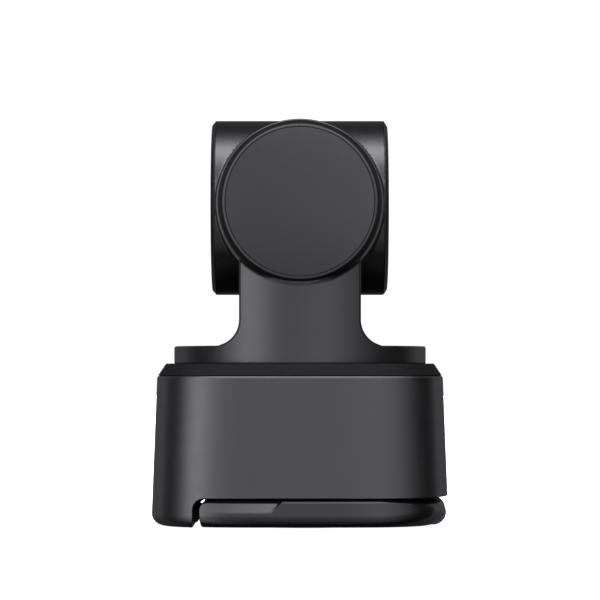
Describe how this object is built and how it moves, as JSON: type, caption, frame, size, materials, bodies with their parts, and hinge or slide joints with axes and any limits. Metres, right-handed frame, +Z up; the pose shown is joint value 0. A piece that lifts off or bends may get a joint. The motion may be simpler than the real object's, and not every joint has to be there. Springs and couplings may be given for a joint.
{
  "type": "ptz camera",
  "caption": "Compact desk camera: tilting cylindrical head on a one-sided arm and turntable, rounded-square base, fold-out clip leg with tripod thread.",
  "frame": {"origin": "on the pan axis, at the surface the camera stands on", "axes": "+Z up along the pan axis, lens towards -Y, arm on the +X side"},
  "size_m": [0.049, 0.0491, 0.0675],
  "materials": {
    "shell": "fine-textured satin moulded plastic",
    "trim": "black satin moulded plastic",
    "rubber": "matt silicone rubber",
    "steel": "machined steel",
    "lamination": "stacked silicon steel",
    "magnet": "nickel-plated magnet",
    "copper": "enamelled copper wire",
    "pcb": "green solder mask",
    "black_part": "black moulded part",
    "alu": "bare aluminium",
    "glass": "coated optical glass",
    "sensor": "glossy sensor cover",
    "light": "translucent light pipe",
    "brass": "turned brass",
    "flex": "polyimide flex circuit"
  },
  "bodies": {
    "base": {"base_shell": "shell", "base_top_ring": "trim", "bottom_plate": "trim", "lip_pad": "rubber", "base_grip_pad": "rubber", "base_screws": "steel", "hinge_bracket": "steel", "hinge_pin": "steel", "usb_c_shell": "steel", "usb_c_tongue": "black_part", "main_board": "pcb", "board_chips": "black_part", "heat_sink": "alu", "status_light": "light", "light_board": "pcb", "microphones": "steel", "pan_motor_mount": "alu", "pan_bearings": "steel", "pan_stator": "lamination", "pan_coils": "copper", "motor_screws": "steel"},
    "yoke": {"yoke_shell": "shell", "arm_inner_cover": "trim", "cover_screws": "steel", "tilt_housing": "trim", "side_cap": "shell", "pan_shaft": "steel", "pan_rotor": "steel", "pan_magnets": "magnet", "tilt_stator": "lamination", "tilt_coils": "copper", "tilt_bearings": "steel", "tilt_driver_board": "pcb", "yoke_flex": "flex"},
    "head": {"head_barrel": "shell", "front_bezel": "trim", "front_glass": "glass", "face_mask": "black_part", "lens_trim_ring": "alu", "focus_housing": "black_part", "image_sensor": "sensor", "sensor_board": "pcb", "heat_spreader": "alu", "rear_cap": "trim", "tilt_shaft": "steel", "tilt_rotor": "steel", "tilt_magnets": "magnet", "head_hub": "alu", "head_screws": "steel"},
    "lens_carrier": {"lens_barrel": "black_part", "lens_elements": "glass", "focus_coil": "copper"},
    "leg": {"leg_shell": "shell", "leg_cover": "trim", "leg_grip_pad": "rubber", "round_foot_pad": "rubber", "tripod_insert": "brass", "leg_screws": "steel"}
  },
  "joints": [
    {"name": "pan", "type": "hinge", "parent": "base", "child": "yoke", "pos_m": [0, 0, 0.027], "axis": [0, 0, 1], "range_deg": [-155, 155]},
    {"name": "tilt", "type": "hinge", "parent": "yoke", "child": "head", "pos_m": [0, 0, 0.05295], "axis": [-1, 0, 0], "range_deg": [-90, 60]},
    {"name": "focus", "type": "slide", "parent": "head", "child": "lens_carrier", "axis": [0, -1, 0], "range_m": [0, 0.0004], "stiffness_N_per_m": 120},
    {"name": "leg_hinge", "type": "hinge", "parent": "base", "child": "leg", "pos_m": [0, 0.02192, 0.00248], "axis": [1, 0, 0], "range_deg": [0, 110]}
  ]
}
